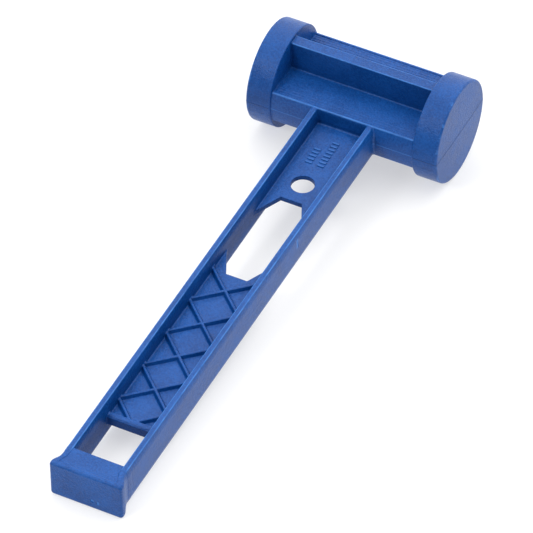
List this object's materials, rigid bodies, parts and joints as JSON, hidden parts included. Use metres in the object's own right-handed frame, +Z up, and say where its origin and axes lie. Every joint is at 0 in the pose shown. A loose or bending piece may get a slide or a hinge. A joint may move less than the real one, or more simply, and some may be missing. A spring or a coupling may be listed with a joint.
{
  "type": "one-piece moulded camping mallet",
  "caption": "Double-faced plastic camping mallet with a ribbed head and an open I-section handle with a peg slot, a hanging hole and a flared butt.",
  "frame": {"origin": "centre of the footprint on the surface that the mallet lies on", "axes": "+X along the head from the left striking face to the right one, +Y along the handle from butt to head, +Z up; the tool rests on both disc rims and the lower edge of the butt, so the handle dips 3.2 degrees toward the butt"},
  "size_m": [0.0986, 0.2988, 0.0506],
  "materials": {
    "blue_plastic": "fine-grained moulded polypropylene, satin"
  },
  "bodies": {
    "root": {"striking_disc_left": "blue_plastic", "striking_disc_right": "blue_plastic", "head_centre_wall": "blue_plastic", "head_deck_front": "blue_plastic", "head_deck_back": "blue_plastic", "handle_flange_left": "blue_plastic", "handle_flange_right": "blue_plastic", "handle_web_neck": "blue_plastic", "handle_web_grip": "blue_plastic", "grip_lattice_top": "blue_plastic", "grip_lattice_bottom": "blue_plastic", "handle_cross_rib": "blue_plastic", "butt_block": "blue_plastic", "moulded_mark": "blue_plastic"}
  },
  "joints": []
}
